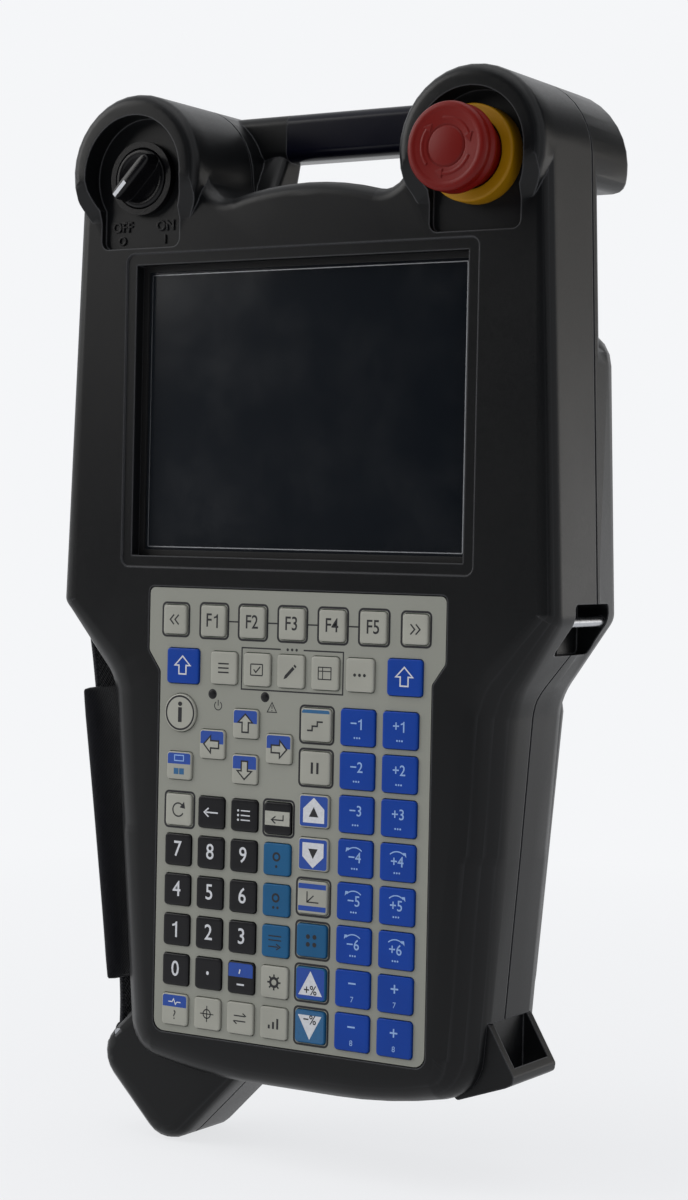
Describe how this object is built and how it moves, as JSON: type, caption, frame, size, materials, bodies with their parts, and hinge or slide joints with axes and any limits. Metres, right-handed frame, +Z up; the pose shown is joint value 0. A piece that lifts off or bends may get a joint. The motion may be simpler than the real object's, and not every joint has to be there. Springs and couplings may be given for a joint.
{
  "type": "robot teach pendant",
  "caption": "Handheld robot teach pendant with screen, keypad, mushroom emergency stop, rotary selector, two enabling levers, hand strap and hanging bar.",
  "frame": {"origin": "middle of the hanging bar, on its axis", "axes": "+X to the operator's right along the bar, +Y from the face into the case, +Z up"},
  "size_m": [0.1988, 0.081, 0.3686],
  "materials": {
    "case_plastic": "fine moulded texture, semi-gloss black",
    "lever_plastic": "satin charcoal",
    "bar_plastic": "smooth black",
    "seal_rubber": "matt black",
    "steel": "bright zinc plate",
    "screen_glass": "dark touch glass, gloss",
    "lcd_frame": "plain sheet frame",
    "circuit_board": "green solder mask",
    "sheet_grey": "light warm grey polyester film",
    "key_light": "light grey, satin",
    "key_blue": "blue, satin",
    "key_teal": "teal blue, satin",
    "key_dark": "near-black, satin",
    "stop_red": "red, satin",
    "ring_yellow": "yellow, satin",
    "control_black": "black",
    "strap_fabric": "black woven nylon"
  },
  "bodies": {
    "case": {"front_case": "case_plastic", "rear_case": "case_plastic", "case_seal": "seal_rubber", "case_screws": "steel", "hanging_bar": "bar_plastic", "touch_glass": "screen_glass", "window_gasket": "seal_rubber", "lcd_panel": "lcd_frame", "main_board": "circuit_board", "key_sheet": "sheet_grey", "key_board": "circuit_board", "estop_ring": "ring_yellow", "estop_block": "control_black", "selector_collar": "control_black", "selector_block": "control_black", "enable_switches": "control_black", "lever_pins": "steel", "strap_webbing": "strap_fabric", "strap_sleeve": "strap_fabric", "strap_pins": "steel", "strap_loop": "case_plastic", "cable_socket": "steel", "cable_insert": "control_black"},
    "stop_plunger": {"estop_stem": "steel"},
    "stop_head": {"estop_head": "stop_red"},
    "selector": {"selector_knob": "control_black"},
    "lever_left": {"enable_lever_left": "lever_plastic"},
    "lever_right": {"enable_lever_right": "lever_plastic"},
    "key_info_body": {"key_info": "key_light"},
    "key_display_body": {"key_display": "key_light"},
    "key_up_arrow_body": {"key_up_arrow": "key_light"},
    "key_left_arrow_body": {"key_left_arrow": "key_light"},
    "key_right_arrow_body": {"key_right_arrow": "key_light"},
    "key_down_arrow_body": {"key_down_arrow": "key_light"},
    "key_shift_left_body": {"key_shift_left": "key_blue"},
    "key_shift_right_body": {"key_shift_right": "key_blue"},
    "key_step_body": {"key_step": "key_light"},
    "key_hold_body": {"key_hold": "key_light"},
    "key_forward_body": {"key_forward": "key_light"},
    "key_backward_body": {"key_backward": "key_light"},
    "key_frame_body": {"key_frame": "key_light"},
    "key_group_body": {"key_group": "key_teal"},
    "key_faster_body": {"key_faster": "key_teal"},
    "key_slower_body": {"key_slower": "key_teal"},
    "keys_function_body": {"keys_function": "key_light"},
    "keys_menu_body": {"keys_menu": "key_light"},
    "keys_edit_body": {"keys_edit": "key_dark"},
    "keys_789_body": {"keys_789": "key_dark"},
    "keys_456_body": {"keys_456": "key_dark"},
    "keys_123_body": {"keys_123": "key_dark"},
    "keys_0_body": {"keys_0": "key_dark"},
    "keys_help_body": {"keys_help": "key_light"},
    "keys_jog_1_body": {"keys_jog_1": "key_blue"},
    "keys_jog_2_body": {"keys_jog_2": "key_blue"},
    "keys_jog_3_body": {"keys_jog_3": "key_blue"},
    "keys_jog_4_body": {"keys_jog_4": "key_blue"},
    "keys_jog_5_body": {"keys_jog_5": "key_blue"},
    "keys_jog_6_body": {"keys_jog_6": "key_blue"},
    "keys_jog_7_body": {"keys_jog_7": "key_blue"},
    "keys_jog_8_body": {"keys_jog_8": "key_blue"}
  },
  "joints": [
    {"name": "stop_push", "type": "slide", "parent": "case", "child": "stop_plunger", "axis": [0, 1, 0], "range_m": [0, 0.0045]},
    {"name": "stop_twist", "type": "hinge", "parent": "stop_plunger", "child": "stop_head", "pos_m": [0.067, -0.045, -0.0175], "axis": [0, 1, 0], "range_deg": [0, 35], "stiffness_Nm_per_rad": 0.3},
    {"name": "selector_turn", "type": "hinge", "parent": "case", "child": "selector", "pos_m": [-0.067, -0.045, -0.0175], "axis": [0, -1, 0], "range_deg": [0, 90]},
    {"name": "lever_left_squeeze", "type": "hinge", "parent": "case", "child": "lever_left", "pos_m": [-0.052, 0.001, -0.2], "axis": [-1, 0, 0], "range_deg": [0, 4.5], "stiffness_Nm_per_rad": 3},
    {"name": "lever_right_squeeze", "type": "hinge", "parent": "case", "child": "lever_right", "pos_m": [0.052, 0.001, -0.2], "axis": [-1, 0, 0], "range_deg": [0, 4.5], "stiffness_Nm_per_rad": 3},
    {"name": "key_info_press", "type": "slide", "parent": "case", "child": "key_info_body", "axis": [0, 1, 0], "range_m": [0, 0.0006], "stiffness_N_per_m": 800},
    {"name": "key_display_press", "type": "slide", "parent": "case", "child": "key_display_body", "axis": [0, 1, 0], "range_m": [0, 0.0006], "stiffness_N_per_m": 800},
    {"name": "key_up_arrow_press", "type": "slide", "parent": "case", "child": "key_up_arrow_body", "axis": [0, 1, 0], "range_m": [0, 0.0006], "stiffness_N_per_m": 800},
    {"name": "key_left_arrow_press", "type": "slide", "parent": "case", "child": "key_left_arrow_body", "axis": [0, 1, 0], "range_m": [0, 0.0006], "stiffness_N_per_m": 800},
    {"name": "key_right_arrow_press", "type": "slide", "parent": "case", "child": "key_right_arrow_body", "axis": [0, 1, 0], "range_m": [0, 0.0006], "stiffness_N_per_m": 800},
    {"name": "key_down_arrow_press", "type": "slide", "parent": "case", "child": "key_down_arrow_body", "axis": [0, 1, 0], "range_m": [0, 0.0006], "stiffness_N_per_m": 800},
    {"name": "key_shift_left_press", "type": "slide", "parent": "case", "child": "key_shift_left_body", "axis": [0, 1, 0], "range_m": [0, 0.0006], "stiffness_N_per_m": 800},
    {"name": "key_shift_right_press", "type": "slide", "parent": "case", "child": "key_shift_right_body", "axis": [0, 1, 0], "range_m": [0, 0.0006], "stiffness_N_per_m": 800},
    {"name": "key_step_press", "type": "slide", "parent": "case", "child": "key_step_body", "axis": [0, 1, 0], "range_m": [0, 0.0006], "stiffness_N_per_m": 800},
    {"name": "key_hold_press", "type": "slide", "parent": "case", "child": "key_hold_body", "axis": [0, 1, 0], "range_m": [0, 0.0006], "stiffness_N_per_m": 800},
    {"name": "key_forward_press", "type": "slide", "parent": "case", "child": "key_forward_body", "axis": [0, 1, 0], "range_m": [0, 0.0006], "stiffness_N_per_m": 800},
    {"name": "key_backward_press", "type": "slide", "parent": "case", "child": "key_backward_body", "axis": [0, 1, 0], "range_m": [0, 0.0006], "stiffness_N_per_m": 800},
    {"name": "key_frame_press", "type": "slide", "parent": "case", "child": "key_frame_body", "axis": [0, 1, 0], "range_m": [0, 0.0006], "stiffness_N_per_m": 800},
    {"name": "key_group_press", "type": "slide", "parent": "case", "child": "key_group_body", "axis": [0, 1, 0], "range_m": [0, 0.0006], "stiffness_N_per_m": 800},
    {"name": "key_faster_press", "type": "slide", "parent": "case", "child": "key_faster_body", "axis": [0, 1, 0], "range_m": [0, 0.0006], "stiffness_N_per_m": 800},
    {"name": "key_slower_press", "type": "slide", "parent": "case", "child": "key_slower_body", "axis": [0, 1, 0], "range_m": [0, 0.0006], "stiffness_N_per_m": 800},
    {"name": "keys_function_press", "type": "slide", "parent": "case", "child": "keys_function_body", "axis": [0, 1, 0], "range_m": [0, 0.0006], "stiffness_N_per_m": 800},
    {"name": "keys_menu_press", "type": "slide", "parent": "case", "child": "keys_menu_body", "axis": [0, 1, 0], "range_m": [0, 0.0006], "stiffness_N_per_m": 800},
    {"name": "keys_edit_press", "type": "slide", "parent": "case", "child": "keys_edit_body", "axis": [0, 1, 0], "range_m": [0, 0.0006], "stiffness_N_per_m": 800},
    {"name": "keys_789_press", "type": "slide", "parent": "case", "child": "keys_789_body", "axis": [0, 1, 0], "range_m": [0, 0.0006], "stiffness_N_per_m": 800},
    {"name": "keys_456_press", "type": "slide", "parent": "case", "child": "keys_456_body", "axis": [0, 1, 0], "range_m": [0, 0.0006], "stiffness_N_per_m": 800},
    {"name": "keys_123_press", "type": "slide", "parent": "case", "child": "keys_123_body", "axis": [0, 1, 0], "range_m": [0, 0.0006], "stiffness_N_per_m": 800},
    {"name": "keys_0_press", "type": "slide", "parent": "case", "child": "keys_0_body", "axis": [0, 1, 0], "range_m": [0, 0.0006], "stiffness_N_per_m": 800},
    {"name": "keys_help_press", "type": "slide", "parent": "case", "child": "keys_help_body", "axis": [0, 1, 0], "range_m": [0, 0.0006], "stiffness_N_per_m": 800},
    {"name": "keys_jog_1_press", "type": "slide", "parent": "case", "child": "keys_jog_1_body", "axis": [0, 1, 0], "range_m": [0, 0.0006], "stiffness_N_per_m": 800},
    {"name": "keys_jog_2_press", "type": "slide", "parent": "case", "child": "keys_jog_2_body", "axis": [0, 1, 0], "range_m": [0, 0.0006], "stiffness_N_per_m": 800},
    {"name": "keys_jog_3_press", "type": "slide", "parent": "case", "child": "keys_jog_3_body", "axis": [0, 1, 0], "range_m": [0, 0.0006], "stiffness_N_per_m": 800},
    {"name": "keys_jog_4_press", "type": "slide", "parent": "case", "child": "keys_jog_4_body", "axis": [0, 1, 0], "range_m": [0, 0.0006], "stiffness_N_per_m": 800},
    {"name": "keys_jog_5_press", "type": "slide", "parent": "case", "child": "keys_jog_5_body", "axis": [0, 1, 0], "range_m": [0, 0.0006], "stiffness_N_per_m": 800},
    {"name": "keys_jog_6_press", "type": "slide", "parent": "case", "child": "keys_jog_6_body", "axis": [0, 1, 0], "range_m": [0, 0.0006], "stiffness_N_per_m": 800},
    {"name": "keys_jog_7_press", "type": "slide", "parent": "case", "child": "keys_jog_7_body", "axis": [0, 1, 0], "range_m": [0, 0.0006], "stiffness_N_per_m": 800},
    {"name": "keys_jog_8_press", "type": "slide", "parent": "case", "child": "keys_jog_8_body", "axis": [0, 1, 0], "range_m": [0, 0.0006], "stiffness_N_per_m": 800}
  ]
}
